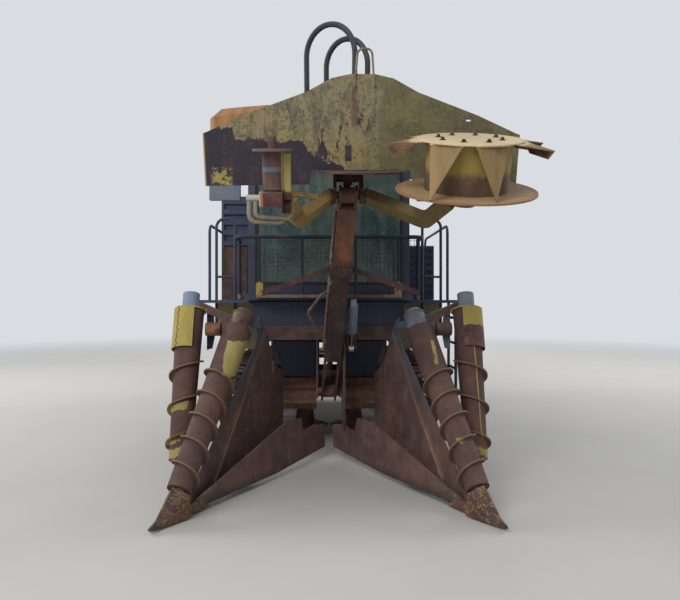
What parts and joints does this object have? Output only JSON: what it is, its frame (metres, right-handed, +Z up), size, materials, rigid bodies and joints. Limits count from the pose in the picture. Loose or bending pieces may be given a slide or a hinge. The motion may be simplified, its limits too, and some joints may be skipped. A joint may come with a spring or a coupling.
{
  "type": "single-row tracked sugarcane harvester",
  "caption": "Sugarcane harvester on tracks with spiral crop dividers, a raised topper on a mast, cab, extractor hoods and a slewing loading elevator.",
  "frame": {"origin": "on the ground, midway between the front of the raised topper and the end of the elevator, on the middle plane", "axes": "+Z up, -Y to the machine's front, +X to the machine's left"},
  "size_m": [2.92, 12.5593, 4.7241],
  "materials": {
    "rusty_steel": "rusted bare steel with old primer",
    "yellow_paint": "faded yellow paint flaking over purple-brown primer",
    "roof_paint": "orange-yellow paint, chalked and rusting at the edges",
    "blue_paint": "dark blue paint, dusty and worn",
    "tan_steel": "tan dust over rust",
    "cream_paint": "cream paint with stains",
    "grey_paint": "grey-blue paint",
    "track_steel": "worn and rusted steel",
    "bright_rod": "plated rod",
    "cast_iron": "oily cast iron",
    "hose": "black hose rubber",
    "window": "greenish dusty glass",
    "lens": "clear lamp glass",
    "seat_cover": "dark seat cloth",
    "console_plastic": "black plastic"
  },
  "bodies": {
    "machine": {"main_frame": "blue_paint", "front_apron": "blue_paint", "front_beam": "tan_steel", "undercarriage": "blue_paint", "track_left": "track_steel", "track_right": "track_steel", "cutter_gearbox": "rusty_steel", "cab_floor": "blue_paint", "cab_shell": "blue_paint", "cab_glass": "window", "cab_roof": "roof_paint", "roof_lamps": "lens", "cab_guard": "rusty_steel", "cab_seat": "seat_cover", "cab_console": "console_plastic", "mirrors": "grey_paint", "platform_left": "blue_paint", "platform_right": "blue_paint", "side_tanks": "cream_paint", "engine_hood": "blue_paint", "engine_block": "cast_iron", "cooling_box": "blue_paint", "stowage_box": "tan_steel", "radiator_box": "blue_paint", "cleaning_chamber": "cream_paint", "slew_base": "blue_paint"},
    "door": {"cab_door": "blue_paint", "door_glass": "window"},
    "knockdown_roller": {"knockdown_roller": "rusty_steel"},
    "base_cutter_left": {"base_cutter_left": "rusty_steel"},
    "base_cutter_right": {"base_cutter_right": "rusty_steel"},
    "butt_lifter": {"butt_lifter": "rusty_steel"},
    "divider_left": {"divider_left": "rusty_steel"},
    "divider_right": {"divider_right": "rusty_steel"},
    "scroll_inner_left": {"scroll_inner_left": "rusty_steel"},
    "scroll_outer_left": {"scroll_outer_left": "rusty_steel"},
    "scroll_inner_right": {"scroll_inner_right": "rusty_steel"},
    "scroll_outer_right": {"scroll_outer_right": "rusty_steel"},
    "mast": {"mast": "rusty_steel", "mast_pipes": "tan_steel"},
    "mast_link": {"mast_link": "rusty_steel"},
    "lift_barrel": {"lift_barrel": "grey_paint"},
    "lift_rod": {"lift_rod": "bright_rod"},
    "topper_head": {"topper_frame": "yellow_paint", "topper_hood": "yellow_paint", "topper_hoses": "hose"},
    "topper_disc": {"topper_disc": "rusty_steel"},
    "drum_spindle": {"drum_spindle": "rusty_steel"},
    "gathering_drum": {"gathering_drum": "yellow_paint"},
    "extractor_hood": {"extractor_hood": "blue_paint"},
    "extractor_fan": {"extractor_fan": "rusty_steel"},
    "turntable": {"turntable": "blue_paint"},
    "elevator": {"elevator": "blue_paint", "elevator_flights": "rusty_steel", "elevator_throat": "blue_paint"},
    "elevator_hood": {"elevator_hood": "blue_paint"},
    "elevator_fan": {"elevator_fan": "rusty_steel"}
  },
  "joints": [
    {"name": "door_swing", "type": "hinge", "parent": "machine", "child": "door", "pos_m": [0.804, -2.8143, 2.3], "axis": [0, 0, 1], "range_deg": [0, 75]},
    {"name": "knockdown_spin", "type": "hinge", "parent": "machine", "child": "knockdown_roller", "pos_m": [0, -3.2643, 0.585], "axis": [1, 0, 0], "continuous": true},
    {"name": "cutter_left_spin", "type": "hinge", "parent": "machine", "child": "base_cutter_left", "pos_m": [-0.285, -2.6543, 0.12], "axis": [0, 0, 1], "continuous": true},
    {"name": "cutter_right_spin", "type": "hinge", "parent": "machine", "child": "base_cutter_right", "pos_m": [0.285, -2.6543, 0.12], "axis": [0, 0, 1], "continuous": true},
    {"name": "lifter_spin", "type": "hinge", "parent": "machine", "child": "butt_lifter", "pos_m": [0, -2.1443, 0.66], "axis": [1, 0, 0], "continuous": true},
    {"name": "mast_lift", "type": "hinge", "parent": "machine", "child": "mast", "pos_m": [0, -3.9843, 0.72], "axis": [-1, 0, 0], "range_deg": [-38, 6]},
    {"name": "link_lift", "type": "hinge", "parent": "machine", "child": "mast_link", "pos_m": [0, -3.8643, 0.88], "axis": [-1, 0, 0], "range_deg": [-38, 6]},
    {"name": "head_level", "type": "hinge", "parent": "mast", "child": "topper_head", "pos_m": [0.15, -5.1043, 2.42], "axis": [-1, 0, 0], "range_deg": [-6, 38]},
    {"name": "lift_barrel_swing", "type": "hinge", "parent": "mast", "child": "lift_barrel", "pos_m": [0.215, -4.54394, 1.56946], "axis": [-1, 0, 0], "range_deg": [-8, 2]},
    {"name": "lift_rod_slide", "type": "slide", "parent": "lift_barrel", "child": "lift_rod", "axis": [0, 0.7767, -0.6298], "range_m": [-0.045, 0.28]},
    {"name": "topper_disc_spin", "type": "hinge", "parent": "topper_head", "child": "topper_disc", "pos_m": [0.24, -5.27801, 2.56602], "axis": [0, -0.2588, 0.9659], "continuous": true},
    {"name": "drum_spindle_spin", "type": "hinge", "parent": "topper_head", "child": "drum_spindle", "pos_m": [-0.368, -5.8343, 2.325], "axis": [0, -0.2588, 0.9659], "continuous": true},
    {"name": "gathering_drum_spin", "type": "hinge", "parent": "topper_head", "child": "gathering_drum", "pos_m": [0.906, -5.8343, 2.325], "axis": [0, -0.3681, 0.9298], "continuous": true},
    {"name": "extractor_hood_turn", "type": "hinge", "parent": "machine", "child": "extractor_hood", "pos_m": [0, -0.0643, 3.9], "axis": [0, 0, 1], "range_deg": [-170, 170]},
    {"name": "extractor_fan_spin", "type": "hinge", "parent": "extractor_hood", "child": "extractor_fan", "pos_m": [0, -0.0643, 3.7], "axis": [0, 0, 1], "continuous": true},
    {"name": "elevator_slew", "type": "hinge", "parent": "machine", "child": "turntable", "pos_m": [0, 1.1257, 0.7], "axis": [0, 0, 1], "range_deg": [-85, 85]},
    {"name": "elevator_lift", "type": "hinge", "parent": "turntable", "child": "elevator", "pos_m": [0, 1.1257, 0.9], "axis": [1, 0, 0], "range_deg": [-12, 6]},
    {"name": "elevator_hood_turn", "type": "hinge", "parent": "elevator", "child": "elevator_hood", "pos_m": [0, 5.79935, 4.24361], "axis": [0, 0, 1], "range_deg": [-170, 170]},
    {"name": "elevator_fan_spin", "type": "hinge", "parent": "elevator_hood", "child": "elevator_fan", "pos_m": [0, 5.79935, 4.11361], "axis": [0, 0, 1], "continuous": true},
    {"name": "divider_left_lift", "type": "hinge", "parent": "machine", "child": "divider_left", "pos_m": [-0.65, -3.3043, 0.96], "axis": [-1, 0, 0], "range_deg": [0, 10]},
    {"name": "scroll_inner_left_spin", "type": "hinge", "parent": "divider_left", "child": "scroll_inner_left", "pos_m": [-1.085, -5.4543, 0.225], "axis": [0.1802, 0.6633, 0.7263], "continuous": true},
    {"name": "scroll_outer_left_spin", "type": "hinge", "parent": "divider_left", "child": "scroll_outer_left", "pos_m": [-1.213, -4.9043, 0.293], "axis": [-0.0179, 0.3654, 0.9307], "continuous": true},
    {"name": "divider_right_lift", "type": "hinge", "parent": "machine", "child": "divider_right", "pos_m": [0.65, -3.3043, 0.96], "axis": [-1, 0, 0], "range_deg": [0, 10]},
    {"name": "scroll_inner_right_spin", "type": "hinge", "parent": "divider_right", "child": "scroll_inner_right", "pos_m": [1.085, -5.4543, 0.225], "axis": [-0.1802, 0.6633, 0.7263], "continuous": true},
    {"name": "scroll_outer_right_spin", "type": "hinge", "parent": "divider_right", "child": "scroll_outer_right", "pos_m": [1.213, -4.9043, 0.293], "axis": [0.0179, 0.3654, 0.9307], "continuous": true}
  ],
  "couplings": [
    {"joint": "link_lift", "follows": "mast_lift", "ratio": 1},
    {"joint": "head_level", "follows": "mast_lift", "ratio": -1},
    {"joint": "lift_barrel_swing", "follows": "mast_lift", "ratio": 0.19},
    {"joint": "lift_rod_slide", "follows": "mast_lift", "m_per_rad": -0.385},
    {"joint": "cutter_right_spin", "follows": "cutter_left_spin", "ratio": -1}
  ]
}
